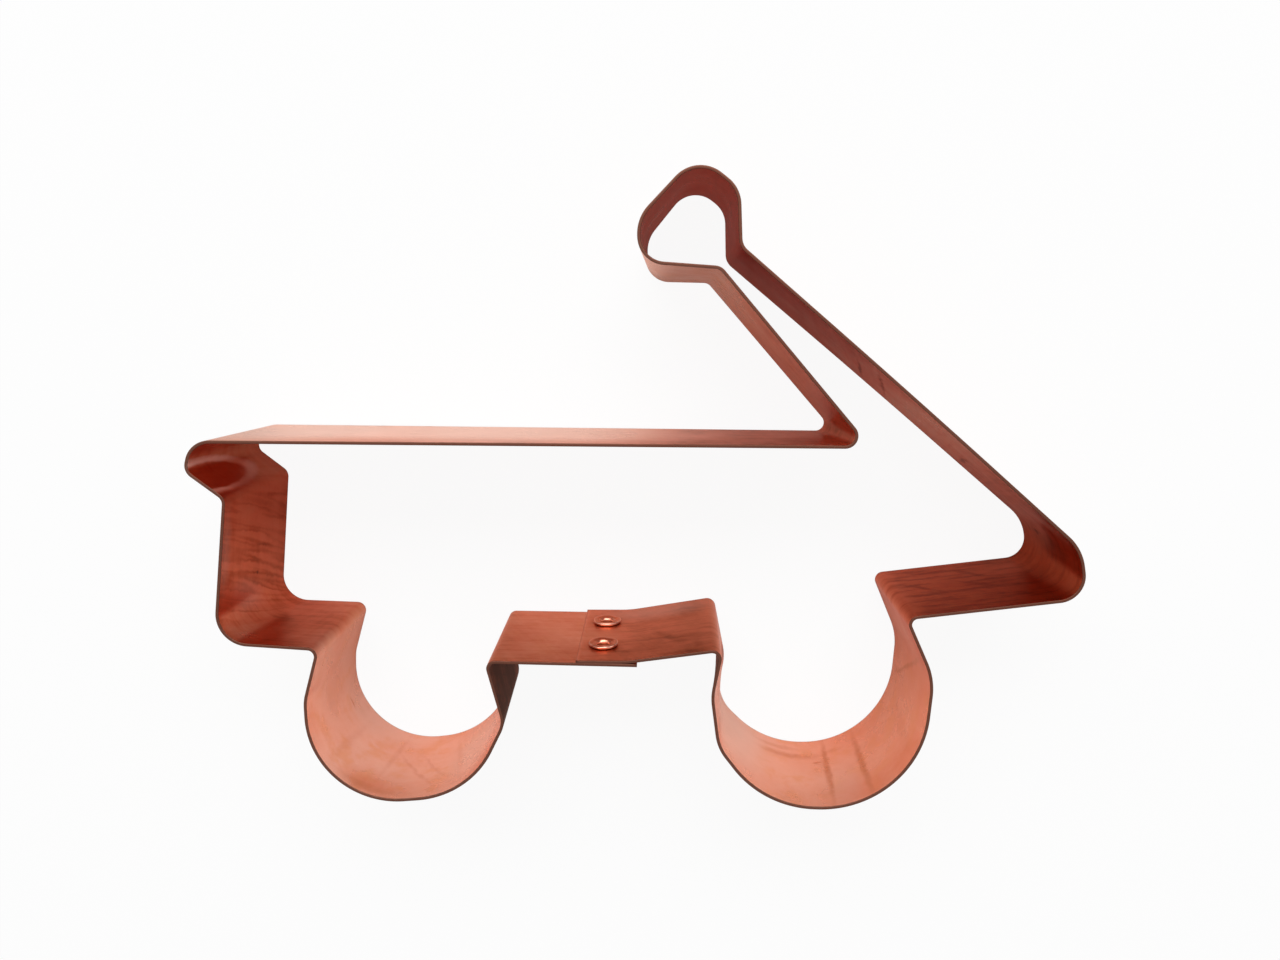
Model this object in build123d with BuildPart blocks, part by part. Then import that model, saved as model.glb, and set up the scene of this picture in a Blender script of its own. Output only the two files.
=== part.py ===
"""A wagon-shaped cookie cutter: one copper strip on edge, bent to the outline, lapped and riveted."""
import math
import os

from build123d import *

# The strip
strip_width = 25.4
strip_thickness = 0.5

# The lap, between the wheels: the strip's inner end lies inside the wagon, on its outer end.
# It begins at its setback from the front wheel
lap_setback = 14.85
lap_length = 9.8
lap_gap = 0.04
lap_level_run = 8.0
seam_drop = 2.75
seam_rise_bend = 20.0

# The rivets that close the lap: a low round head outside, a rolled clinch inside
rivet_setback = 4.0
rivet_spacing = 11.3
rivet_shank_diameter = 3.0
rivet_hole_clearance = 0.05
rivet_head_diameter = 5.4
rivet_head_height = 1.0
rivet_head_rim = 0.25
clinch_diameter = 4.9
clinch_roll = 0.5
clinch_bore_diameter = 1.7
clinch_bore_depth = 0.4

# The wagon's body. Heights are measured from the foot of its front wall
front_wall_height = 23.8
front_wall_rake = 2.7
nose_reach = 5.85
nose_rise = 4.4
nose_depth = 4.4
nose_setback = 1.1
rail_fall = 0.8
tail_height = 8.6
tail_depth = 7.4
tail_rake = 1.2

# The bars under the body, before, between and behind the wheels
front_bar_length = 16.3
seam_bar_length = 37.7
rear_bar_length = 28.4
rear_bar_height = 5.1

# The wheels, which are open to the body
front_wheel_width = 31.8
front_wheel_drop = 28.8
rear_wheel_width = 35.5
rear_wheel_drop = 27.45

# The pull handle, from its foot ahead of the body's rear end, and the loop at its top
handle_setback = 35.5
handle_rise = 26.8
handle_lean = 23.2
loop_width = 15.0
loop_height = 16.7

# Radius of each bend, to the middle of the strip's thickness
foot_bend = 4.8
heel_bend = 1.6
nose_low_bend = 1.9
nose_high_bend = 3.8
handle_foot_bend = 1.7
tail_high_bend = 8.0
tail_low_bend = 3.9

# Corners of the loop, as shares of its width from the left and of its height from the handle,
# each with its bend radius as a share of the width
loop_shares = [
    (0.793, 0.000, 0.127),
    (0.047, 0.036, 0.267),
    (0.000, 0.428, 0.393),
    (0.567, 1.000, 0.333),
    (0.980, 0.711, 0.327),
    (1.000, 0.200, 0.167),
]

# Corners of the wheels, as shares of the width from the opening's front side and of the drop
# below the body, each with its bend radius as a share of the width
front_wheel_shares = [
    (0.902, 0.372, 0.123),
    (0.897, 0.851, 0.481),
    (-0.098, 1.000, 0.428),
    (-0.082, 0.339, 0.258),
    (0.000, 0.028, 0.041),
]
rear_wheel_shares = [
    (0.969, 0.200, 0.324),
    (0.927, 1.000, 0.479),
    (-0.031, 0.993, 0.482),
    (0.000, 0.000, 0.037),
]

# Width of each wheel's opening, and the bend at its rear side, as shares of the wheel's width
front_opening_share = 0.838
rear_opening_share = 0.831
opening_bend_share = 0.034

# Share of a straight run that the bends at its two ends may take up between them
bend_room_share = 0.98


def loop_corners(heel_x, heel_y):
    """Corners of the handle's loop, from its heel round over the top to its throat."""
    heel_share = loop_shares[0][0]
    return [
        (heel_x + (across - heel_share) * loop_width, heel_y + up * loop_height, bend * loop_width)
        for across, up, bend in loop_shares
    ]


def wheel_corners(front, width, drop, shares):
    """Corners of a wheel's open loop, from its rear side round to its front side."""
    return [(front + across * width, -down * drop, bend * width) for across, down, bend in shares]


def wagon_corners():
    """Corners of the strip's middle line with their bend radii, from its outer end to its inner."""
    seam_front = front_bar_length + front_opening_share * front_wheel_width
    seam_rear = seam_front + seam_bar_length
    tail_front = seam_rear + rear_opening_share * rear_wheel_width
    tail_end = tail_front + rear_bar_length
    lap_start = seam_front + lap_setback
    inner_level = -seam_drop + strip_thickness + lap_gap
    nose_x = front_wall_rake - nose_reach
    nose_y = front_wall_height + nose_rise
    handle_x = tail_end - handle_setback
    handle_y = nose_y + nose_depth - rail_fall
    return [
        (lap_start + lap_length, -seam_drop, 0),
        (seam_front, -seam_drop, opening_bend_share * front_wheel_width),
        *wheel_corners(front_bar_length, front_wheel_width, front_wheel_drop, front_wheel_shares),
        (0, 0, foot_bend),
        (front_wall_rake, front_wall_height, heel_bend),
        (nose_x, nose_y, nose_low_bend),
        (nose_x + nose_setback, nose_y + nose_depth, nose_high_bend),
        (handle_x, handle_y, handle_foot_bend),
        *loop_corners(handle_x - handle_lean, handle_y + handle_rise),
        (tail_end - tail_rake, tail_height + tail_depth, tail_high_bend),
        (tail_end, tail_height, tail_low_bend),
        (tail_front, rear_bar_height, opening_bend_share * rear_wheel_width),
        *wheel_corners(seam_rear, rear_wheel_width, rear_wheel_drop, rear_wheel_shares),
        (lap_start + lap_level_run, inner_level, seam_rise_bend),
        (lap_start, inner_level, 0),
    ]


def bends_that_fit(corners):
    """Bend radii, each limited so that neighbouring bends leave a straight run between them."""
    points = [Vector(x, y) for x, y, bend in corners]
    runs = [end - start for start, end in zip(points, points[1:])]
    slopes = [
        math.tan(math.radians(before.get_angle(after)) / 2) for before, after in zip(runs, runs[1:])
    ]
    wanted = [bend * slope for (x, y, bend), slope in zip(corners[1:-1], slopes)]
    taken = [0, *wanted, 0]
    room = [
        min(1, bend_room_share * run.length / (start + end))
        for run, start, end in zip(runs, taken, taken[1:])
    ]
    return [
        length * min(before, after) / slope
        for length, before, after, slope in zip(wanted, room, room[1:], slopes)
    ]


os.makedirs("parts", exist_ok=True)

# Middle line of the bent strip
corners = wagon_corners()
with BuildLine() as bend_line:
    FilletPolyline(*[(x, y) for x, y, bend in corners], radius=bends_that_fit(corners))
middle = bend_line.line.bounding_box().center()

# The rivets' common line across the lap, seen from above
rivet_x = corners[-1][0] + rivet_setback - middle.X
lap_outer_y = -seam_drop - strip_thickness / 2 - middle.Y
lap_thickness = 2 * strip_thickness + lap_gap
lap_middle_y = lap_outer_y + lap_thickness / 2
rivet_heights = {
    "rivet_lower": (strip_width - rivet_spacing) / 2,
    "rivet_upper": (strip_width + rivet_spacing) / 2,
}

# Strip
with BuildPart() as cutter_band:
    with BuildSketch(Plane((-middle.X, -middle.Y, 0))):
        trace(bend_line.line, strip_thickness)
    extrude(amount=strip_width)
    for height in rivet_heights.values():
        with Locations(Plane((rivet_x, lap_middle_y, height), z_dir=(0, 1, 0))):
            Hole(rivet_shank_diameter / 2 + rivet_hole_clearance, depth=lap_thickness)
cutter_band.part.label = "cutter_band"
export_step(cutter_band.part, "parts/cutter_band.step")

# Rivets: domed head, shank, and a clinch rolled outward round its bore. In the half section, x
# runs out from the rivet's axis, and y along it into the wagon from the head's seat
head_radius = rivet_head_diameter / 2
shank_radius = rivet_shank_diameter / 2
bore_radius = clinch_bore_diameter / 2
clinch_rim = (clinch_diameter / 2, lap_thickness)
clinch_crest = (clinch_rim[0] - clinch_roll, lap_thickness + clinch_roll)
flare = clinch_crest[0] - bore_radius
throat = (bore_radius, clinch_crest[1] - flare)
bore_end = throat[1] - clinch_bore_depth
for name, height in rivet_heights.items():
    with BuildPart() as rivet:
        with BuildSketch(Plane((rivet_x, lap_outer_y, height))):
            with BuildLine():
                TangentArc((0, -rivet_head_height), (head_radius, -rivet_head_rim), tangent=(1, 0))
                Polyline((head_radius, -rivet_head_rim), (head_radius, 0), (shank_radius, 0))
                Polyline((shank_radius, 0), (shank_radius, lap_thickness), clinch_rim)
                RadiusArc(clinch_rim, clinch_crest, -clinch_roll)
                RadiusArc(clinch_crest, throat, -flare)
                Polyline(throat, (bore_radius, bore_end), (0, bore_end), (0, -rivet_head_height))
            make_face()
        revolve(axis=Axis((rivet_x, lap_outer_y, height), (0, 1, 0)))
    rivet.part.label = name
    export_step(rivet.part, f"parts/{name}.step")
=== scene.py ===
"""Looks of the wagon cookie cutter: the bent copper strip, its rivets, the floor and the light."""

import math

import bpy
import numpy as np
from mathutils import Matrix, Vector


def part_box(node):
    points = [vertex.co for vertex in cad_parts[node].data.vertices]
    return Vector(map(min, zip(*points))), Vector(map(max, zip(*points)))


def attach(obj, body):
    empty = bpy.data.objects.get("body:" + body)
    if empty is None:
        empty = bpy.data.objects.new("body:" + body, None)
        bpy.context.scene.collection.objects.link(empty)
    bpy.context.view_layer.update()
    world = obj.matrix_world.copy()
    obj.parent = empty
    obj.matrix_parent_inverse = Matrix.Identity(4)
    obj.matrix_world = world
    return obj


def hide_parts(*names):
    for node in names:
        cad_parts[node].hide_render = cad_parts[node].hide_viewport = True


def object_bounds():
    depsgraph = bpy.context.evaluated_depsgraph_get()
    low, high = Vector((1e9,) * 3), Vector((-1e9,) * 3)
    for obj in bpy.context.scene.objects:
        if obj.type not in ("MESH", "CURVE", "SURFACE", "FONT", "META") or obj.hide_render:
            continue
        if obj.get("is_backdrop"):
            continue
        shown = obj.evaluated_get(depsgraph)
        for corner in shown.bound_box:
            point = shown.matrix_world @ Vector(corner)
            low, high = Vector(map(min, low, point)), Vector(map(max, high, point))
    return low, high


MM = 0.001

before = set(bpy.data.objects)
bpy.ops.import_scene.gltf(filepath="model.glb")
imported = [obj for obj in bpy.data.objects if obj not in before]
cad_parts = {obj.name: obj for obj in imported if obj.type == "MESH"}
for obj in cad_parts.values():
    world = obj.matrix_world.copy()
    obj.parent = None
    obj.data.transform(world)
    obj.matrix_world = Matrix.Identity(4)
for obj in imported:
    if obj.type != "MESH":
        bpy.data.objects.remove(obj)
cad_low, cad_high = (np.array(corner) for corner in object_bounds())

# Sizes of the strip, in metres
STRIP_WIDTH = cad_high[2] - cad_low[2]
STRIP_THICKNESS = 0.5 * MM
EDGE_ROUND = 0.09 * MM
# How far the dark sheared edge, partly its own colour and partly a painted dark reflection, reaches
# on to the strip's faces
EDGE_REACH = 2 * EDGE_ROUND

# Corners of the strip's middle line, in millimetres from the foot of the front wall, in order
# from the strip's outer end to its inner end: across, up, bend radius, and how far the upper
# edge leans out against the lower one, across and up
CORNERS = [
    (67.55, -2.80, 0.0, 0.00, -1.04),
    (43.25, -2.45, 1.1, 0.10, -0.90),
    (45.28, -13.55, 4.0, 1.45, 0.50),
    (39.18, -25.68, 15.0, 1.55, 0.10),
    (13.42, -28.28, 14.2, 1.05, 1.05),
    (13.73, -9.75, 8.2, 0.18, 0.09),
    (16.31, -0.78, 1.3, 0.01, -0.47),
    (0.00, 0.00, 4.8, -0.38, -0.03),
    (2.71, 23.83, 1.6, 0.04, -0.91),
    (-2.95, 28.18, 1.9, -0.44, -0.68),
    (-1.85, 32.61, 3.8, -0.17, -0.39),
    (103.13, 31.80, 1.7, 0.32, -0.04),
    (79.88, 58.63, 1.9, 0.45, 0.35),
    (68.66, 59.20, 4.0, -0.97, 0.99),
    (68.04, 65.74, 5.8, -0.78, 0.22),
    (76.49, 75.18, 4.9, -0.01, -0.37),
    (82.69, 70.40, 4.8, 0.10, -0.39),
    (83.00, 61.93, 2.5, 0.24, 0.00),
    (110.14, 39.14, 2500.0, -0.31, -0.07),
    (136.97, 15.99, 8.0, -0.91, -0.19),
    (138.22, 8.57, 3.9, -0.58, -0.93),
    (110.36, 5.15, 1.2, -0.48, -0.92),
    (115.02, -5.46, 11.4, -0.70, 0.33),
    (113.46, -27.43, 16.9, -0.96, 0.07),
    (89.60, -27.20, 17.0, -2.40, 0.20),
    (81.12, -17.55, 8.0, -0.75, 1.10),
    (81.40, -9.35, 9.0, -3.60, 1.90),
    (81.08, 0.06, 1.3, 0.15, -1.50),
    (65.77, -2.25, 20.0, 0.06, -1.10),
    (57.75, -2.25, 0.0, 0.00, -1.04),
]

# Share of a straight run that the bends at its two ends may take up between them
BEND_ROOM = 0.98

# Steps of the strip's mesh: along its runs and its bends in millimetres, with the fewest of each,
# up its faces, and round its edges. The faces' rows start off the edge by so many of its rounds
RUN_STEP = 0.8
FEWEST_IN_RUN = 2
BEND_STEP = 0.35
FEWEST_IN_BEND = 8
FACE_ROWS = 17
EDGE_POINTS = 4
FACE_START = 2.2

# Sizes of a rivet, in millimetres: its low round head outside, and inside the wagon its end,
# rolled outward round a bore
LAP_LEAN = -1.04
LAP_THICKNESS = 1.05
HEAD_HEIGHT = 1.0
HEAD_RIM = 0.25
HEAD_RADIUS = 2.7
SHANK_RADIUS = 1.5
ROLL_RADIUS = 0.5
ROLL_MIDDLE = 0.31
ROLL_DEPTH = 0.31
ROLL_SQUARE = 0.60
CREST_RADIUS = 1.95
BORE_RADIUS = 1.10
BORE_DEPTH = 0.4

# Where the bore's wall ends and its floor begins, as shares of its depth and of its radius
BORE_WALL_SHARE = 0.7
BORE_FLOOR_SHARE = 0.8

# Arcs of a rivet's section, in degrees from straight out: where each starts and ends. The dome's
# own starts at the head's crown
CROWN = -90
HEAD_RIM_ARC = (-10, 90)
ROLL_ARC = (-60, 90)
FLARE_ARC = (96, 180)

# Points along a rivet's section: 0 to 13 on the dome, 14 to 19 on the head's rim, 20 and 21 on
# the shank, 22 to 33 on the roll, 34 to 45 on the flare, 46 to 48 in the bore
DOME_POINTS = 14
HEAD_RIM_POINTS = 6
ROLL_POINTS = 12
FLARE_POINTS = 12
RIVET_SIDES = 64

# How bright wear has kept the rivet, by the point along its section
RIVET_WEAR = [
    (0, 0.8), (10, 0.7), (18, 0.0), (21, 0.0), (24, 0.9), (28, 1.0), (32, 0.3), (36, 0.1),
    (40, 0.6), (45, 0.9), (46, 0.5), (48, 0.3),
]

# The roll's unevenness: waves round the axis (share of the radius, count, times the rivet's own
# turn), the share of the lap's thickness past which they begin, how much lower in millimetres it
# lies, and how much lower for each unit of the waves
ROLL_WAVES = [(0.030, 3, 1), (0.022, 5, 2), (0.012, 11, 0)]
ROLL_START = 0.98
ROLL_SUNK = 0.03
WAVE_SUNK = 0.9

# The rivets, each with its own turn of the waves
RIVETS = [("rivet_lower", 1.3), ("rivet_upper", 2.3)]

# Colours of copper by its tarnish, 0 clean and pale to 1 dark brown
TARNISH_COLOURS = [
    (0.0, (0.80, 0.48, 0.38)),
    (0.2, (0.75, 0.37, 0.26)),
    (0.4, (0.70, 0.26, 0.155)),
    (0.6, (0.61, 0.16, 0.08)),
    (0.8, (0.38, 0.085, 0.030)),
    (1.0, (0.055, 0.012, 0.007)),
]
RED_COLOUR = (0.66, 0.07, 0.02)
GRAZING_TINT = (1.0, 0.77, 0.68, 1.0)
# Pale painted reflection of the bright floor
PAINTED_REFLECTION_COLOUR = (0.71, 0.54, 0.475)
WARM_COLOUR = (0.74, 0.35, 0.17)
STAIN_COLOUR = (0.50, 0.17, 0.075)
# Painted highlight on the rim round the hook's painted dark reflection
RIM_HIGHLIGHT_COLOUR = (0.98, 0.56, 0.46)
# Dark brown of the sheared edges, partly their own and partly a painted dark reflection on the
# edges that face up
EDGE_COLOUR = (0.130, 0.055, 0.038)
FLOOR_COLOUR = (0.9, 0.9, 0.9, 1.0)
WHITE = (1.0, 1.0, 1.0, 1.0)

# How far the strip's two faces have tarnished, by the place along it in millimetres, with painted
# shade where their walls lie in shadow, darkest on the front wheel's outer neck
TARNISH_AND_SHADE_INSIDE = [
    (0, 0.50), (14, 0.46), (24, 0.56), (34, 0.48), (44, 0.26), (52, 0.08), (62, 0.10), (76, 0.08),
    (84, 0.12), (91, 0.28), (93, 0.54), (100, 0.64), (110, 0.55), (118, 0.58), (124, 0.61),
    (131, 0.44), (138, 0.52), (150, 0.60), (240, 0.54), (286, 0.40), (292, 0.38), (308, 0.36),
    (318, 0.38), (330, 0.56), (341, 0.52), (350, 0.45), (358, 0.34), (366, 0.38), (375, 0.62),
    (388, 0.76), (399, 0.82), (411, 0.86), (421, 0.86), (424, 0.62), (430, 0.44), (444, 0.26),
    (460, 0.26), (470, 0.14), (476, 0.02), (486, 0.02), (491, 0.22), (499, 0.38), (503, 0.56),
    (506, 0.71), (516, 0.68), (523, 0.54), (528, 0.50),
]
TARNISH_AND_SHADE_OUTSIDE = [
    (0, 0.44), (20, 0.56), (25, 1.00), (36, 0.95), (44, 0.50), (60, 0.34), (92, 0.40),
    (106, 0.48), (120, 0.38), (131, 0.44), (142, 0.18), (147, 0.12), (175, 0.10), (200, 0.16),
    (208, 0.32), (216, 0.62), (229, 0.70), (240, 0.54), (250, 0.53), (258, 0.51), (267, 0.36),
    (276, 0.10), (285, 0.05), (292, 0.30), (320, 0.42), (350, 0.34), (391, 0.38), (404, 0.48),
    (424, 0.42), (455, 0.30), (482, 0.40), (494, 0.80), (503, 0.85), (508, 0.64), (528, 0.60),
]

# How red the inner face is where copper mirrors copper, by the place along it in millimetres
REDNESS = [
    (0, 0.00), (94, 0.06), (104, 0.18), (112, 0.03), (120, 0.25), (128, 0.42), (136, 0.15),
    (148, 0.10), (286, 0.60), (296, 0.75), (304, 0.95), (312, 1.00), (330, 0.95), (340, 0.55),
    (348, 0.35), (352, 0.50), (358, 0.10), (370, 0.15), (385, 0.22), (399, 0.35), (405, 0.40),
    (424, 0.38), (429, 0.12), (444, 0.00), (458, 0.06), (468, 0.00), (528, 0.00),
]

# Dark streaks that cross the strip: place along it in millimetres, how much they lean along it
# for each millimetre up, and how strong they are
STREAKS = [
    (0, -0.60, 0.12), (24, -0.50, 0.15), (46, -0.20, 0.02), (60, -0.45, 0.02), (76, -0.10, 0.02),
    (90, 0.10, 0.04), (94, 0.15, 0.15), (104, 0.35, 0.20), (109, 0.38, 0.70), (128, 0.28, 0.75),
    (132, 0.25, 0.30), (142, 0.20, 0.15), (150, 0.10, 0.10), (240, 0.10, 0.15), (290, 0.00, 0.20),
    (330, -0.20, 0.30), (344, -0.28, 0.50), (358, -0.35, 0.50), (380, -0.30, 0.30),
    (392, -0.10, 0.12), (405, -0.30, 0.10), (424, -0.25, 0.10), (440, -0.22, 0.02),
    (458, 0.00, 0.00), (480, -0.05, 0.00), (505, -0.50, 0.10), (528, -0.60, 0.12),
]

# Grain that runs along the strip, by the place along it in millimetres
GRAIN = [
    (0, 0.35), (24, 0.40), (44, 0.06), (90, 0.06), (94, 0.45), (106, 0.40), (112, 0.10),
    (130, 0.15), (140, 0.45), (147, 0.20), (210, 0.35), (290, 0.40), (330, 0.35), (380, 0.40),
    (396, 0.30), (404, 0.70), (422, 0.75), (428, 0.20), (440, 0.05), (486, 0.04), (500, 0.30),
    (528, 0.40),
]

# Dark marks on the strip: face (0 inside, 1 outside), place along and up, half width along, half
# length up, lean along per length up, and how much darker; all lengths in millimetres
MARKS = [
    # The first two rows are painted shadow round the rivets
    (0, 522.3, 7.05, 4.3, 4.3, 0.00, 0.30),
    (0, 522.3, 18.35, 4.3, 4.3, 0.00, 0.30),
    (0, 104.0, 20.0, 4.5, 8.0, 0.30, -0.24),
    (0, 127.0, 7.2, 0.6, 9.0, 0.23, 0.14),
    (0, 122.8, 6.4, 0.5, 7.0, 0.30, 0.16),
    (0, 119.8, 13.0, 0.6, 12.0, 0.36, 0.20),
    (0, 114.0, 11.5, 0.5, 0.5, 0.00, 0.16),
    (0, 103.8, 10.2, 2.4, 9.0, -0.64, 0.14),
    (0, 511.0, 17.0, 1.5, 6.0, -0.78, 0.10),
    (0, 495.0, 3.0, 2.5, 7.0, 0.00, 0.55),
    (0, 64.0, 22.0, 7.0, 4.5, 0.00, 0.14),
    (0, 80.3, 13.0, 6.0, 8.0, 0.00, 0.14),
    (0, 372.6, 9.3, 0.8, 7.0, -0.35, 0.30),
    (0, 408.5, 7.2, 1.2, 5.0, -0.80, 0.16),
    (0, 418.5, 11.8, 1.0, 5.0, -0.90, 0.16),
    (0, 409.0, 13.0, 1.0, 6.0, -1.17, 0.14),
    (0, 392.4, 12.8, 3.0, 10.0, 0.10, 0.14),
    (0, 391.0, 7.9, 0.8, 1.0, 0.00, 0.26),
    (0, 347.9, 10.8, 0.60, 11.0, -0.28, 0.50),
    (0, 352.3, 13.3, 0.60, 13.0, -0.35, 0.50),
    (1, 180.0, 24.5, 48.0, 9.0, 0.00, 0.42),
    (1, 266.0, 22.0, 12.0, 7.0, 0.00, 0.22),
    (1, 219.0, 6.0, 3.0, 8.0, 0.20, 0.12),
    (1, 243.5, 12.0, 1.5, 16.0, 0.00, 0.20),
    (1, 283.7, 7.0, 7.0, 1.5, 0.00, -0.24),
]

# Brown stains on the clean copper, in the same columns
STAINS = [
    (0, 75.1, 5.8, 1.8, 0.35, 0.00, 0.75),
    (0, 63.8, 23.6, 9.0, 1.8, 0.00, 0.42),
    (0, 62.6, 11.0, 0.8, 13.0, 0.05, 0.20),
    (0, 57.4, 15.5, 0.60, 11.0, -0.70, 0.30),
    (0, 54.4, 14.5, 0.50, 9.0, -0.62, 0.25),
    (0, 50.0, 12.0, 0.9, 12.0, -0.20, 0.22),
    (0, 71.0, 14.0, 1.2, 14.0, 0.10, 0.16),
    (0, 463.0, 12.5, 0.90, 16.0, 0.05, 0.75),
    (0, 456.8, 14.0, 1.00, 16.0, 0.02, 0.75),
    (0, 461.2, 5.5, 2.6, 1.0, 0.00, 0.30),
    (0, 469.5, 6.6, 9.0, 1.7, 0.00, 0.50),
    (0, 472.0, 3.6, 7.0, 1.2, 0.00, 0.35),
    (0, 464.4, 9.3, 1.2, 0.45, 0.00, 0.95),
    (0, 437.4, 10.8, 0.80, 16.0, -0.49, 0.70),
    (0, 440.6, 5.0, 1.6, 4.0, 0.00, 0.35),
    (0, 447.0, 15.0, 2.0, 12.0, 0.15, 0.18),
    (1, 156.2, 0.5, 1.4, 0.45, 0.00, 1.20),
    (1, 163.0, 0.5, 1.7, 0.40, 0.00, 1.20),
    (1, 171.0, 0.5, 1.1, 0.45, 0.00, 1.20),
]

# A painted dark red reflection in the bend of the hook, without the last column
HOOK_REFLECTION = (0, 134.1, 20.8, 3.2, 11.6, 0.04)

# Pale grey-pink painted reflections of the bright floor, and glints, on the strip, in the same
# columns
PAINTED_REFLECTIONS = [
    (0, 80.3, 14.5, 7.0, 8.5, 0.00, 0.22),
    (0, 461.0, 18.5, 5.5, 12.0, 0.00, 0.22),
    (0, 513.0, 3.0, 14.0, 6.0, 0.00, 0.22),
    (0, 111.0, 16.0, 4.0, 9.0, 0.30, 0.18),
    (0, 70.0, 1.5, 15.0, 9.0, 0.00, 0.38),
    (0, 480.0, 3.0, 13.0, 9.0, 0.00, 0.34),
    (0, 387.0, 21.5, 5.0, 5.5, 0.00, 0.55),
    (1, 279.0, 7.0, 8.0, 9.0, 0.00, 0.40),
    (0, 482.0, 11.0, 10.0, 20.0, 0.00, 0.85),
    (0, 89.0, 22.0, 8.0, 12.0, 0.00, 0.22),
    (0, 120.0, 24.2, 12.0, 2.6, 0.00, 0.14),
    (0, 46.0, 14.0, 8.0, 20.0, 0.00, 0.60),
    (1, 236.3, 24.2, 0.7, 0.5, 0.00, 0.95),
    (1, 239.2, 23.9, 0.8, 0.5, 0.00, 0.95),
    (1, 150.0, 8.0, 20.0, 25.0, 0.00, 0.90),
    (1, 185.0, 7.0, 48.0, 27.0, 0.00, 0.95),
]

# Random patterns on the strip: scale to the millimetre, detail and roughness. Its two faces lie
# so far apart in them that each has clouds of its own
CLOUDS = (0.11, 4.0, 0.55)
SPECKS = (0.9, 3.0, 0.7)
DRIFT = (0.45, 2.0, 0.5)
WARM_PATCHES = (0.22, 3.0, 0.6)
FACES_APART = 40.0

# Random lines on the strip, drawn out along it or up it: scale along and up to the millimetre,
# how far apart its faces lie, detail and roughness
ROLLING_LINES = (0.04, 1.7, 40.0, 4.0, 0.6)
GRAIN_LINES = (0.10, 0.55, 30.0, 4.0, 0.65)
STREAK_LINES = (0.44, 0.04, 20.0, 1.2, 0.5)

# How far the drift moves the streaks, the marks along and up, and the hook's painted reflection, in
# millimetres
STREAK_DRIFT = 0.8
MARK_DRIFT = (0.9, 1.5)
HOOK_REFLECTION_DRIFT = 0.4

# Thickness of the space that a mark fills, in the distance of 1 between the two faces
MARK_THICKNESS = 0.5

# Where each pattern begins and where it is full: the band towards the upper edge and the painted
# highlight rim's growth along the strip in millimetres, marks, the hook's painted reflection and
# its rim in shares of their oval, and the rest in levels of their pattern
UPPER_BAND = (15.0, 25.0)
GRAIN_STEP = (0.42, 0.72)
FINE_STREAK = (0.11, 0.0)
BROAD_STREAK = (0.50, 0.75)
MARK_STEP = (1.0, 0.15)
WARM_STEP = (0.48, 0.66)
HOOK_REFLECTION_STEP = (1.0, 0.75)
RIM_INSIDE = (0.78, 0.98)
RIM_OUTSIDE = (1.30, 1.02)
RIM_END = (130.0, 134.0)
EDGE_STEP = (0.15, 0.7)

# Levels at which clouds and grain leave the tarnish as it is
UPPER_CLOUDS_LEVEL = 0.2
GRAIN_LEVEL = 0.35

# How much each pattern adds to the tarnish
CLOUD_TARNISH = 0.36
ROLLING_TARNISH = 0.03
UPPER_TARNISH = 0.2
GRAIN_TARNISH = 0.36
STREAK_TARNISH = 0.40
SPECK_TARNISH = 0.10

# Among the streaks, the least of the fine ones where the clouds are dark, and the broad ones' share
FINE_STREAK_LEAST = 0.05
BROAD_STREAK_SHARE = 0.5

# The warm patches: their share, and the tarnish past which they no longer show
WARM_SHARE = 0.7
WARM_UP_TO_TARNISH = 0.75

# How much redder the hook's painted dark reflection is than the face round it
HOOK_REFLECTION_REDNESS = 0.22

# Strength of the painted highlight rim round the hook's reflection at its front end, and how much
# more it has at its rear end
RIM_LENGTHWISE = (0.3, 0.7)

# Layers of colour over the tarnish: the least share, and how much the layer's pattern adds
RED_COVER = (0.6, 0.8)
RIM_COVER = (0.6, 0.7)
PAINTED_REFLECTION_COVER = (0.6, 0.8)
STAIN_COVER = (0.3, 1.2)
EDGE_COVER = (0.75, 0.4)

# How much less metallic the painted highlight rim is, which spreads the light
RIM_DULLNESS = 0.75

# Roughness of clean copper strip, and how much each pattern adds to it
STRIP_ROUGH = 0.16
CLOUD_ROUGH = 0.12
ROLLING_ROUGH = 0.03
TARNISH_ROUGH = 0.16
EDGE_ROUGH = 0.15

# Height of each pattern against that of the clouds, and how strong the relief is
ROLLING_HEIGHT = 0.05
SPECK_HEIGHT = 0.06
STRIP_BUMP = 0.2
BUMP_DISTANCE = 0.02 * MM

# The rivets' finish: patterns by the metre, tarnish and roughness where nothing has worn them,
# what wear takes off and what the patterns add, and the relief
RIVET_CLOUDS = (700.0, 4.0, 0.6)
RIVET_SCRATCHES = (2600.0, 2.0, 0.6)
RIVET_TARNISH = 0.66
WEAR_CLEANS = 0.60
RIVET_CLOUD_TARNISH = 0.3
RIVET_ROUGH = 0.34
WEAR_SMOOTHS = 0.08
SCRATCH_ROUGH = 0.08
RIVET_CLOUD_HEIGHT = 0.8
SCRATCH_HEIGHT = 0.2
RIVET_BUMP = 0.15

# The floor: half its side, how far below the cutter it lies, and how much of it is plain white
# to the camera and in the metal
FLOOR_REACH = 6.0
FLOOR_GAP = 0.02 * MM
FLOOR_WHITE = 0.93
FLOOR_MIRRORED = 0.1

# The world's light on the object, and what is added for the camera and in the metal
WORLD_LEVEL = 0.26
WORLD_WHITE = 0.74
WORLD_MIRRORED = 0.55

# The large window behind the cutter: its place and size in metres, and its power in watts
WINDOW_PLACE = (-0.02, 0.8, 0.75)
WINDOW_SIZE = (1.5, 0.6)
WINDOW_POWER = 13.4

# The camera's place in metres, its tilt in degrees, and its lens in millimetres
CAMERA_PLACE = (3.41 * MM, 23.97 * MM, 166.5 * MM)
CAMERA_TILT = (-8.223, 1.17, 0.0)
LENS_LENGTH = 25.9
SENSOR_WIDTH = 36.0
NEAREST_SEEN = 0.01


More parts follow.
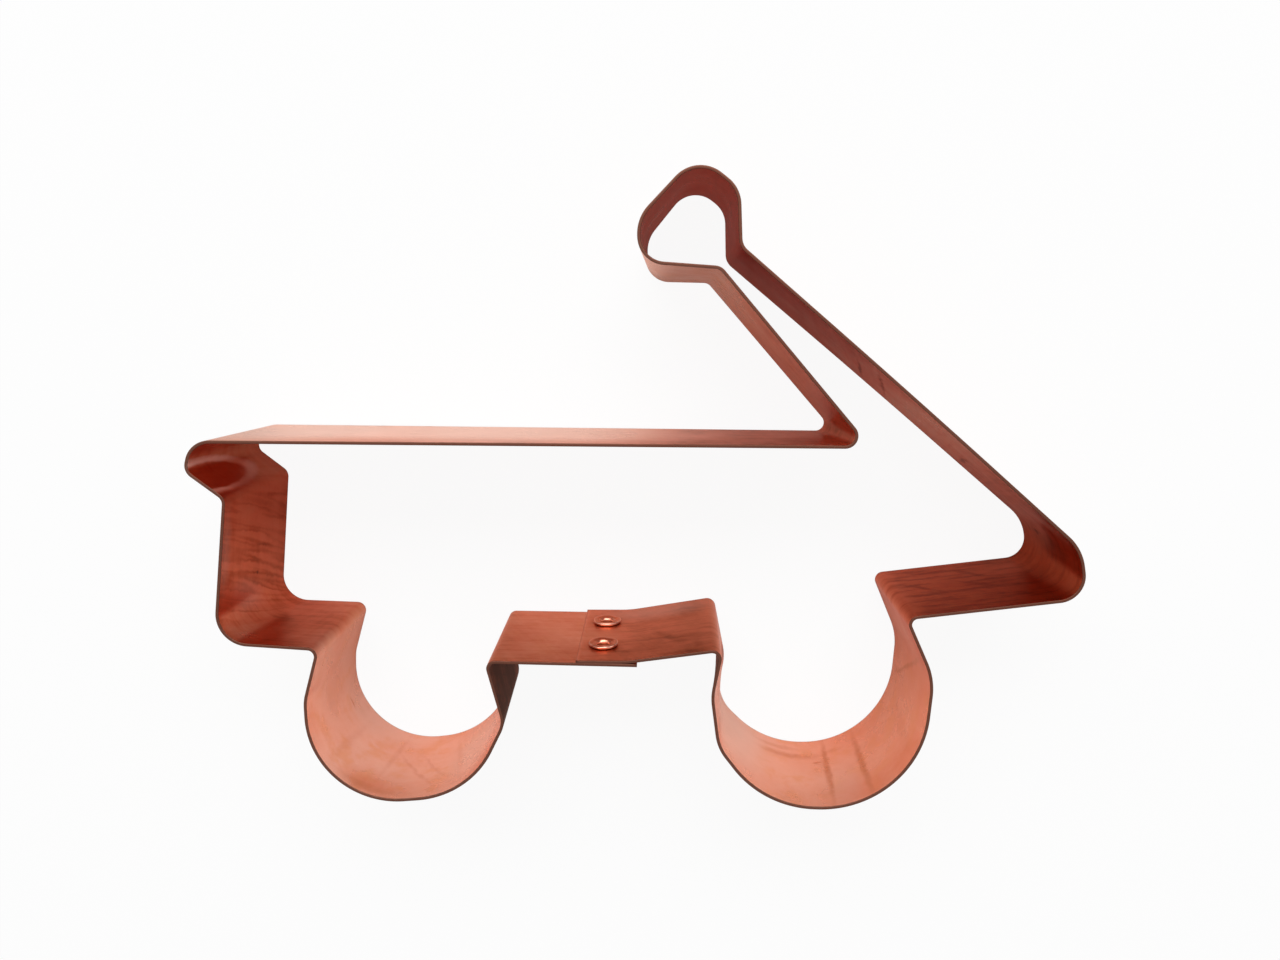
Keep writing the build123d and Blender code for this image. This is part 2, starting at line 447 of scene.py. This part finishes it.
class Socket:
    """A node's output in a node tree, with arithmetic that adds Math nodes."""

    def __init__(self, tree, output):
        self.tree = tree
        self.output = output

    def math(self, operation, *values):
        """A Math node that works on numbers and sockets."""
        return self.tree.add("ShaderNodeMath", {"operation": operation}, dict(enumerate(values)))

    def __add__(self, other):
        return self.math("ADD", self, other)

    def __radd__(self, other):
        return self.math("ADD", other, self)

    def __sub__(self, other):
        return self.math("SUBTRACT", self, other)

    def __rsub__(self, other):
        return self.math("SUBTRACT", other, self)

    def __mul__(self, other):
        return self.math("MULTIPLY", self, other)

    def __rmul__(self, other):
        return self.math("MULTIPLY", other, self)

    def __abs__(self):
        return self.math("ABSOLUTE", self)

    def above(self, low, high):
        """0 up to low, 1 from high on, a smooth step between; low may be the larger one."""
        return self.tree.add(
            "ShaderNodeMapRange",
            {"interpolation_type": "SMOOTHSTEP"},
            {"Value": self, "From Min": low, "From Max": high},
        )

    def spread(self, least, more):
        """least where the pattern is 0, and least + more where it is 1."""
        return least + self * more


class Tree:
    """The node tree of a material or of the world, filled by one method."""

    def __init__(self, owner):
        owner.use_nodes = True
        self.nodes = owner.node_tree.nodes
        self.links = owner.node_tree.links
        self.nodes.clear()

    def add(self, kind, settings=None, inputs=None, output=0):
        """A new node of a kind, its settings first and then its sockets' values or links."""
        node = self.nodes.new(kind)
        for name, value in (settings or {}).items():
            if name == "stops":
                self.set_stops(node.color_ramp, value)
            else:
                setattr(node, name, value)
        for name, value in (inputs or {}).items():
            if isinstance(value, Socket):
                self.links.new(value.output, node.inputs[name])
            else:
                node.inputs[name].default_value = value
        return Socket(self, node.outputs[output]) if node.outputs else node

    @staticmethod
    def set_stops(ramp, stops):
        while len(ramp.elements) < len(stops):
            ramp.elements.new(1.0)
        for element, (place, colour) in zip(ramp.elements, stops):
            element.position = place
            element.color = (*colour, 1.0)

    def attribute(self, name):
        return self.add("ShaderNodeAttribute", {"attribute_name": name}, output="Fac")

    def vector(self, x, y, z):
        return self.add("ShaderNodeCombineXYZ", {}, {"X": x, "Y": y, "Z": z})

    def noise(self, place, scale, detail, roughness):
        """Soft random clouds, 0 to 1, about scale to a unit of the place."""
        inputs = {"Vector": place, "Scale": scale, "Detail": detail, "Roughness": roughness}
        return self.add("ShaderNodeTexNoise", {}, inputs)

    def lines(self, along, up, outside, pattern):
        """Random lines, 0 to 1, by their scales along and up and the distance of the faces."""
        along_scale, up_scale, apart, detail, roughness = pattern
        place = self.vector(along * along_scale, up * up_scale, outside * apart)
        return self.noise(place, 1.0, detail, roughness)

    def away(self, place, side, along, up, half_width, half_length, lean):
        """Distance from the middle of an oval that leans across the strip, 1 on its outline."""
        turned = self.add(
            "ShaderNodeMapping",
            {"vector_type": "TEXTURE"},
            {
                "Vector": place,
                "Location": (along, up, side),
                "Rotation": (0.0, 0.0, -math.atan(lean)),
                "Scale": (half_width, half_length, MARK_THICKNESS),
            },
        )
        length = {"operation": "LENGTH"}
        return self.add("ShaderNodeVectorMath", length, {0: turned}, output="Value")

    def marks(self, place, rows):
        """The sum of oval marks, each full at its middle only."""
        total = 0.0
        for *oval, amount in rows:
            total = self.away(place, *oval).above(*MARK_STEP) * amount + total
        return total

    def mix(self, share, under, over):
        """A colour laid over another by its share."""
        inputs = {0: share, 6: under, 7: (*over, 1.0)}
        return self.add("ShaderNodeMix", {"data_type": "RGBA"}, inputs, output=2)

    def copper(self, tarnish):
        """Copper's colour from clean and pale, over orange brown, to dark brown."""
        return self.add("ShaderNodeValToRGB", {"stops": TARNISH_COLOURS}, {"Fac": tarnish})

    def bump(self, strength, height):
        inputs = {"Strength": strength, "Distance": BUMP_DISTANCE, "Height": height}
        return self.add("ShaderNodeBump", {}, inputs)

    def finish_metal(self, colour, metal, rough, bump):
        """The metal's shader, with a reflection at grazing angles that is tinted like copper."""
        inputs = {
            "Base Color": colour,
            "Metallic": metal,
            "Specular Tint": GRAZING_TINT,
            "Roughness": rough,
            "Normal": bump,
        }
        shader = self.add("ShaderNodeBsdfPrincipled", {}, inputs)
        self.add("ShaderNodeOutputMaterial", {}, {"Surface": shader})

    def seen_rays(self):
        """1 for the camera's own rays, and 1 for those that metal or glass has turned."""
        camera, glossy, through = (
            self.add("ShaderNodeLightPath", output=f"Is {kind} Ray")
            for kind in ("Camera", "Glossy", "Transmission")
        )
        return camera, glossy + through


def runs_and_turns(points):
    """Lengths of the straight runs between corners, and the angle that each corner turns."""
    runs = np.diff(points, axis=0)
    headings = np.arctan2(runs[:, 1], runs[:, 0])
    turns = np.abs((np.diff(headings) + np.pi) % (2 * np.pi) - np.pi)
    return np.hypot(*runs.T), turns


def limited_bends(points, bends):
    """Bend radii, each shortened where two bends would overrun the straight run between them."""
    lengths, turns = runs_and_turns(points)
    slopes = np.tan(turns / 2)
    wanted = np.concatenate([[0], bends[1:-1] * slopes, [0]])
    room = np.minimum(1, BEND_ROOM * lengths / (wanted[:-1] + wanted[1:]))
    return wanted[1:-1] * np.minimum(room[:-1], room[1:]) / slopes


def rounded_line(points, bends, run_counts, bend_counts):
    """Points along a line through corners, each corner rounded by an arc tangent to its runs.

    An arc about centre c starts at the tangent point s and turns it by an angle that grows
    evenly from 0 to the corner's turn: c + rotate(s - c). The runs between are straight.
    """
    bends = limited_bends(points, bends)
    pieces = []
    start = points[0]
    for k, bend in enumerate(bends):
        corner = points[k + 1]
        back = (points[k] - corner) / np.linalg.norm(points[k] - corner)
        on = (points[k + 2] - corner) / np.linalg.norm(points[k + 2] - corner)
        half = math.acos(np.clip(back @ on, -1, 1)) / 2
        tangent = corner + back * bend / math.tan(half)
        middle = corner + (back + on) / np.linalg.norm(back + on) * bend / math.sin(half)
        side = np.sign(back[1] * on[0] - back[0] * on[1])
        angles = side * (math.pi - 2 * half) * np.arange(bend_counts[k]) / bend_counts[k]
        spoke = tangent - middle
        turned = np.stack(
            [
                spoke[0] * np.cos(angles) - spoke[1] * np.sin(angles),
                spoke[0] * np.sin(angles) + spoke[1] * np.cos(angles),
            ],
            axis=1,
        )
        shares = np.arange(run_counts[k])[:, None] / run_counts[k]
        pieces += [start + (tangent - start) * shares, middle + turned]
        start = corner + on * bend / math.tan(half)
    shares = np.linspace(0, 1, run_counts[-1] + 1)[:, None]
    pieces.append(start + (points[-1] - start) * shares)
    return np.concatenate(pieces)


def strip_edges():
    """Middle lines of the strip at its lower and its upper edge, in millimetres, row by row."""
    table = np.array(CORNERS)
    middle, bends, lean = table[:, :2], table[:, 2], table[:, 3:]
    lengths, turns = runs_and_turns(middle)
    run_counts = np.maximum(FEWEST_IN_RUN, (lengths / RUN_STEP).astype(int))
    bend_counts = np.maximum(FEWEST_IN_BEND, (bends[1:-1] * turns / BEND_STEP).astype(int))
    return [
        rounded_line(middle + side * lean / 2, bends, run_counts, bend_counts) for side in (-1, 1)
    ]


def new_piece(name, vertices, faces):
    """A smooth object in the scene, with a mesh of these vertices and faces."""
    mesh = bpy.data.meshes.new(name)
    mesh.from_pydata(vertices.tolist(), [], faces)
    mesh.polygons.foreach_set("use_smooth", np.ones(len(faces), bool))
    mesh.update()
    piece = bpy.data.objects.new(name, mesh)
    bpy.context.scene.collection.objects.link(piece)
    return piece


def grid_mesh(name, rings):
    """A mesh through a grid of points whose columns close into rings, with its two ends capped.

    A cap joins each point of the end ring to the one that mirrors it across the strip.
    """
    count, around = rings.shape[:2]
    k, j = np.meshgrid(np.arange(count - 1), np.arange(around), indexing="ij")
    here, following, n = k * around, (k + 1) * around, (j + 1) % around
    quads = np.stack([here + j, following + j, following + n, here + n], -1)
    half = np.arange(around // 2 - 1)
    cap = np.stack([half, half + 1, around - 2 - half, around - 1 - half], -1)
    faces = np.concatenate([quads.reshape(-1, 4), cap, (count - 1) * around + cap[:, ::-1]])
    return new_piece(name, rings.reshape(-1, 3), faces.tolist())


def turned_mesh(name, points):
    """A closed mesh from a grid of points: turn round the axis, place along the section.

    The section's first and last points lie on the axis, and each becomes one shared point.
    """
    turns, row = points.shape[0], points.shape[1] - 2
    vertices = np.concatenate([points[:, 1:-1].reshape(-1, 3), points[:1, 0], points[:1, -1]])
    k, j = np.meshgrid(np.arange(turns), np.arange(row - 1), indexing="ij")
    n = (k + 1) % turns
    quads = np.stack([k * row + j, k * row + j + 1, n * row + j + 1, n * row + j], -1)
    first, last = turns * row, turns * row + 1
    k = np.arange(turns)
    n = (k + 1) % turns
    start = np.stack([np.full(turns, first), k * row, n * row], -1)
    end = np.stack([k * row + row - 1, np.full(turns, last), n * row + row - 1], -1)
    faces = quads.reshape(-1, 4).tolist() + start.tolist() + end.tolist()
    return new_piece(name, vertices, faces)


def set_attribute(piece, name, values):
    """A number at every vertex, for the material to read by its name."""
    layer = piece.data.attributes.new(name, "FLOAT", "POINT")
    layer.data.foreach_set("value", np.asarray(values, np.float32).ravel())


def strip_section():
    """The strip's section as a closed ring: (across its thickness, height).

    Up the inner face, over the upper edge, down the outer face and under the lower edge, with
    each corner of the section rounded by a quarter circle.
    """
    half = STRIP_THICKNESS / 2
    quarter = np.linspace(0, math.pi / 2, EDGE_POINTS)
    across = -half + EDGE_ROUND * (1 - np.sin(quarter))
    low = np.stack([across, EDGE_ROUND * (1 - np.cos(quarter))], 1)
    start = FACE_START * EDGE_ROUND
    rows = np.linspace(start, STRIP_WIDTH - start, FACE_ROWS)
    inner = np.stack([np.full(FACE_ROWS, -half), rows], 1)
    high = low[::-1] * (1, -1) + (0, STRIP_WIDTH)
    up = np.concatenate([low, inner, high])
    return np.concatenate([up, up[::-1] * (-1, 1)])


def strip_surface():
    """The strip as a grid of points: station along its line, point round its section.

    Each point is the lower edge's line plus its height's share of the way to the upper edge's
    line, moved across by the section along the line's normal. The outline is then centred in
    the frame's box, and shrunk where it is larger.
    """
    lower, upper = strip_edges()
    section = strip_section()
    share = section[None, :, 1, None] / STRIP_WIDTH
    line = lower[:, None] * (1 - share) + upper[:, None] * share
    along = np.gradient(line, axis=0)
    along /= np.linalg.norm(along, axis=2, keepdims=True)
    normal = np.stack([-along[..., 1], along[..., 0]], -1)
    flat = line * MM + normal * section[None, :, 0, None]
    low, high = flat.min((0, 1)), flat.max((0, 1))
    box_low, box_high = cad_low[:2], cad_high[:2]
    shrink = np.minimum(1, (box_high - box_low) / (high - low))
    flat = (flat - (low + high) / 2) * shrink + (box_low + box_high) / 2
    height = np.broadcast_to(section[None, :, 1, None], flat.shape[:2] + (1,)) + cad_low[2]
    length = np.concatenate([[0], np.cumsum(np.hypot(*np.diff((lower + upper) / 2, axis=0).T))])
    return np.concatenate([flat, height], -1), section, length


def by_place(length, table, column=1):
    """A table's column at each station along the strip, read between its rows, as a column."""
    rows = np.array(table)
    return np.interp(length, rows[:, 0], rows[:, column])[:, None]


def make_strip():
    """The copper strip, with what its finish reads at each point kept as attributes.

    Crossing is the place along the strip where a streak through the point meets the strip's
    middle. Edge is 0 on the faces and grows to 1 over EDGE_REACH.
    """
    points, section, length = strip_surface()
    strip = grid_mesh("copper_strip", points)
    outside = section[None, :, 0] > 0
    from_middle = section[None, :, 1] - STRIP_WIDTH / 2
    rim = np.maximum(0, np.abs(from_middle) - STRIP_WIDTH / 2 + EDGE_REACH)
    inside_tarnish_and_shade, outside_tarnish_and_shade = (
        by_place(length, table) for table in (TARNISH_AND_SHADE_INSIDE, TARNISH_AND_SHADE_OUTSIDE)
    )
    values = {
        "along": length[:, None],
        "up": section[None, :, 1] / MM,
        "outside": outside,
        "edge": rim / EDGE_REACH,
        # The level by place is tarnish together with painted shade
        "tarnish": np.where(outside, outside_tarnish_and_shade, inside_tarnish_and_shade),
        "crossing": length[:, None] - by_place(length, STREAKS) * (from_middle / MM),
        "streaks": by_place(length, STREAKS, column=2),
        "grain": by_place(length, GRAIN),
        "redness": np.where(outside, 0, by_place(length, REDNESS)),
    }
    for name, value in values.items():
        set_attribute(strip, name, np.broadcast_to(value, points.shape[:2]))
    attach(strip, "root")
    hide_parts("cutter_band")
    return strip


def arc(centre, radius, start, end, count):
    """Points on a circle in the rivet's half section, from one angle in degrees to another."""
    angles = np.radians(np.linspace(start, end, count))
    return np.array(centre) + radius * np.stack([np.cos(angles), np.sin(angles)], 1)


def rivet_section():
    """A rivet's half section: (out from its axis, along it from the head's seat), in millimetres.

    From the crown of the head, an arc to its rim, the shank, the roll, a quarter circle from its
    crest down into the bore, and the bore's floor. The roll is an oval with squarer sides: its
    cosine and sine are raised to the power ROLL_SQUARE before they are scaled.
    """
    rise = HEAD_HEIGHT - HEAD_RIM
    rim_round = HEAD_RIM / 2
    dome = (HEAD_RADIUS**2 + rise**2) / (2 * rise)
    dome_end = CROWN + math.degrees(math.asin(HEAD_RADIUS / dome))
    flare = CREST_RADIUS - BORE_RADIUS
    throat = LAP_THICKNESS + ROLL_MIDDLE + ROLL_DEPTH - flare
    floor = throat - BORE_DEPTH
    bulge = arc((0, 0), 1, *ROLL_ARC, ROLL_POINTS)
    bulge = np.sign(bulge) * np.abs(bulge) ** ROLL_SQUARE
    return np.concatenate(
        [
            arc((0, dome - HEAD_HEIGHT), dome, CROWN, dome_end, DOME_POINTS),
            arc((HEAD_RADIUS - rim_round, -rim_round), rim_round, *HEAD_RIM_ARC, HEAD_RIM_POINTS),
            [(SHANK_RADIUS, 0), (SHANK_RADIUS, LAP_THICKNESS)],
            (CREST_RADIUS, LAP_THICKNESS + ROLL_MIDDLE) + bulge * (ROLL_RADIUS, ROLL_DEPTH),
            arc((CREST_RADIUS, throat), flare, *FLARE_ARC, FLARE_POINTS),
            [(BORE_RADIUS, throat - BORE_DEPTH * BORE_WALL_SHARE)],
            [(BORE_RADIUS * BORE_FLOOR_SHARE, floor), (0, floor)],
        ]
    )


def make_rivet(node, own_turn):
    """One rivet on the leaning lap: its section turned round its axis, the roll a little uneven.

    Past the shank, the section's radius is multiplied by 1 plus a few waves round the axis, and
    its height is lowered where they are strong, as in a roll that was hammered over by hand.
    """
    low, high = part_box(node)
    height = (low[2] + high[2]) / 2
    share = (height - cad_low[2]) / STRIP_WIDTH - 0.5
    seat_depth = low[1] + HEAD_HEIGHT * MM + LAP_LEAN * share * MM
    seat = np.array([(low[0] + high[0]) / 2, seat_depth, height])
    tilt = math.atan2(-LAP_LEAN * MM, STRIP_WIDTH)
    along = np.array([0, math.cos(tilt), math.sin(tilt)])
    across = np.array([0, -math.sin(tilt), math.cos(tilt)])
    section = rivet_section()
    turn = np.linspace(0, 2 * math.pi, RIVET_SIDES, endpoint=False)[:, None]
    rolled = np.clip((section[:, 1] - LAP_THICKNESS * ROLL_START) / ROLL_RADIUS, 0, 1)
    waves = sum(size * np.sin(count * turn + own * own_turn) for size, count, own in ROLL_WAVES)
    out = section[:, 0] * (1 + waves * rolled)
    depth = section[:, 1] - rolled * (ROLL_SUNK + WAVE_SUNK * np.abs(waves))
    ring = np.array([1, 0, 0]) * np.cos(turn)[..., None] + across * np.sin(turn)[..., None]
    points = seat + (ring * out[..., None] + along * depth[..., None]) * MM
    rivet = turned_mesh("copper_" + node, points)
    wear = np.interp(np.arange(len(section)), *np.array(RIVET_WEAR).T)[1:-1]
    set_attribute(rivet, "wear", np.concatenate([np.tile(wear, RIVET_SIDES), [wear[0], wear[-1]]]))
    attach(rivet, "root")
    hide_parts(node)
    return rivet


def strip_finish():
    """Rolled copper as it tarnishes.

    How far it has tarnished is the level by place, partly painted shade, plus shares of the clouds,
    the rolling lines, the grain along it, the streaks across it, the marks, the first two of them
    painted shadow round the rivets, and the specks. That gives its colour.
    Over it come warm patches, the painted red of copper mirrored in copper with the hook's painted
    dark reflection, that reflection's painted highlight rim, the pale painted reflections and
    glints, the brown stains and last the dark sheared edges, darkened further by a painted dark
    reflection.
    """
    material = bpy.data.materials.new("tarnished_copper")
    tree = Tree(material)
    names = ("along", "up", "outside", "crossing")
    along, up, outside, crossing = (tree.attribute(name) for name in names)
    place = tree.vector(along, up, outside * FACES_APART)
    clouds = tree.noise(place, *CLOUDS)
    specks = tree.noise(place, *SPECKS)
    drift = tree.noise(place, *DRIFT) - 0.5
    rolling = tree.lines(along, up, outside, ROLLING_LINES)
    grain = tree.lines(along, up + drift, outside, GRAIN_LINES)
    streaks = tree.lines(crossing + drift * STREAK_DRIFT, up, outside, STREAK_LINES)
    frayed = tree.vector(along + drift * MARK_DRIFT[0], up + drift * MARK_DRIFT[1], outside)

    # The attribute tarnish holds the level by place, partly painted shade
    tarnish = tree.attribute("tarnish") + (clouds - 0.5) * CLOUD_TARNISH
    tarnish = tarnish + (rolling - 0.5) * ROLLING_TARNISH
    tarnish = tarnish + up.above(*UPPER_BAND) * (clouds - UPPER_CLOUDS_LEVEL) * UPPER_TARNISH
    grained = (grain.above(*GRAIN_STEP) - GRAIN_LEVEL) * tree.attribute("grain")
    tarnish = tarnish + grained * GRAIN_TARNISH
    fine = abs(streaks - 0.5).above(*FINE_STREAK) * (clouds + FINE_STREAK_LEAST)
    broad = streaks.above(*BROAD_STREAK) * BROAD_STREAK_SHARE
    tarnish = tarnish + (fine + broad) * tree.attribute("streaks") * STREAK_TARNISH
    # The marks include painted shadow round the rivets
    tarnish = tarnish + tree.marks(frayed, MARKS) + (specks - 0.5) * SPECK_TARNISH

    warm = tree.noise(place, *WARM_PATCHES).above(*WARM_STEP) * (WARM_UP_TO_TARNISH - tarnish)
    # A painted dark red reflection in the hook's bend, ringed by a painted highlight rim
    hook_reflection = tree.away(tree.vector(along + drift * HOOK_REFLECTION_DRIFT, up, outside), *HOOK_REFLECTION)
    redness = tree.attribute("redness") + hook_reflection.above(*HOOK_REFLECTION_STEP) * HOOK_REFLECTION_REDNESS
    rim = hook_reflection.above(*RIM_INSIDE) * hook_reflection.above(*RIM_OUTSIDE)
    rim = rim * along.above(*RIM_END).spread(*RIM_LENGTHWISE)
    # The sheared edges, their dark colour partly a painted dark reflection
    edge = tree.attribute("edge").above(*EDGE_STEP)
    layers = [
        (warm * WARM_SHARE, WARM_COLOUR),
        (redness * clouds.spread(*RED_COVER), RED_COLOUR),
        (rim * clouds.spread(*RIM_COVER), RIM_HIGHLIGHT_COLOUR),
        # Painted reflections and glints
        (tree.marks(frayed, PAINTED_REFLECTIONS) * clouds.spread(*PAINTED_REFLECTION_COVER), PAINTED_REFLECTION_COLOUR),
        (tree.marks(frayed, STAINS) * specks.spread(*STAIN_COVER), STAIN_COLOUR),
        (edge * specks.spread(*EDGE_COVER), EDGE_COLOUR),
    ]
    colour = tree.copper(tarnish)
    for share, layer in layers:
        colour = tree.mix(share, colour, layer)

    rough = clouds.spread(STRIP_ROUGH, CLOUD_ROUGH) + rolling * ROLLING_ROUGH
    rough = rough + tarnish * TARNISH_ROUGH + edge * EDGE_ROUGH
    height = rolling * ROLLING_HEIGHT + specks * SPECK_HEIGHT + clouds
    tree.finish_metal(colour, 1.0 - rim * RIM_DULLNESS, rough, tree.bump(STRIP_BUMP, height))
    return material


def rivet_finish():
    """Cleaner copper: bright on the worn crest of the roll and the head, dark in the hollows."""
    material = bpy.data.materials.new("worn_copper")
    tree = Tree(material)
    place = tree.add("ShaderNodeTexCoord", output="Object")
    clouds = tree.noise(place, *RIVET_CLOUDS)
    scratches = tree.noise(place, *RIVET_SCRATCHES)
    wear = tree.attribute("wear")
    tarnish = RIVET_TARNISH - wear * WEAR_CLEANS + (clouds - 0.5) * RIVET_CLOUD_TARNISH
    rough = RIVET_ROUGH - wear * WEAR_SMOOTHS + scratches * SCRATCH_ROUGH
    height = clouds * RIVET_CLOUD_HEIGHT + scratches * SCRATCH_HEIGHT
    tree.finish_metal(tree.copper(tarnish), 1.0, rough, tree.bump(RIVET_BUMP, height))
    return material


def make_floor():
    """A plain white floor that shows white to the camera and in the metal, with soft shadows."""
    corners = np.array([(-1, -1, 0), (1, -1, 0), (1, 1, 0), (-1, 1, 0)]) * FLOOR_REACH
    floor = new_piece("floor", corners + (0, 0, cad_low[2] - FLOOR_GAP), [(0, 1, 2, 3)])
    material = bpy.data.materials.new("white_floor")
    tree = Tree(material)
    camera_ray, mirrored_rays = tree.seen_rays()
    white = camera_ray * FLOOR_WHITE + mirrored_rays * FLOOR_MIRRORED
    matt = tree.add("ShaderNodeBsdfDiffuse", {}, {"Color": FLOOR_COLOUR})
    glow = tree.add("ShaderNodeEmission", {}, {"Color": WHITE, "Strength": 1.0})
    shown = tree.add("ShaderNodeMixShader", {}, {0: white, 1: matt, 2: glow})
    tree.add("ShaderNodeOutputMaterial", {}, {"Surface": shown})
    floor.data.materials.append(material)
    floor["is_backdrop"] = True


def make_light():
    """A dim even world that shows white to the camera, and one large soft light from the back."""
    world = bpy.data.worlds.new("studio")
    bpy.context.scene.world = world
    tree = Tree(world)
    camera_ray, mirrored_rays = tree.seen_rays()
    strength = WORLD_LEVEL + camera_ray * WORLD_WHITE + mirrored_rays * WORLD_MIRRORED
    sky = tree.add("ShaderNodeBackground", {}, {"Color": WHITE, "Strength": strength})
    tree.add("ShaderNodeOutputWorld", {}, {"Surface": sky})

    lamp = bpy.data.lights.new("window", "AREA")
    lamp.shape = "RECTANGLE"
    lamp.size, lamp.size_y = WINDOW_SIZE
    lamp.energy = WINDOW_POWER
    window = bpy.data.objects.new("window", lamp)
    window.location = WINDOW_PLACE
    to_cutter = -Vector(WINDOW_PLACE)
    window.rotation_euler = to_cutter.to_track_quat("-Z", "Y").to_euler()
    bpy.context.scene.collection.objects.link(window)


def make_camera():
    """The camera close above the cutter, looking down at it with a slight tilt."""
    lens = bpy.data.cameras.new("camera")
    lens.lens = LENS_LENGTH
    lens.sensor_width = SENSOR_WIDTH
    lens.clip_start = NEAREST_SEEN
    camera = bpy.data.objects.new("camera", lens)
    camera.location = CAMERA_PLACE
    camera.rotation_euler = [math.radians(angle) for angle in CAMERA_TILT]
    bpy.context.scene.collection.objects.link(camera)
    bpy.context.scene.camera = camera


make_strip().data.materials.append(strip_finish())
worn_copper = rivet_finish()
for node, own_turn in RIVETS:
    make_rivet(node, own_turn).data.materials.append(worn_copper)
make_floor()
make_light()
make_camera()
bpy.context.scene.view_settings.view_transform = "Standard"
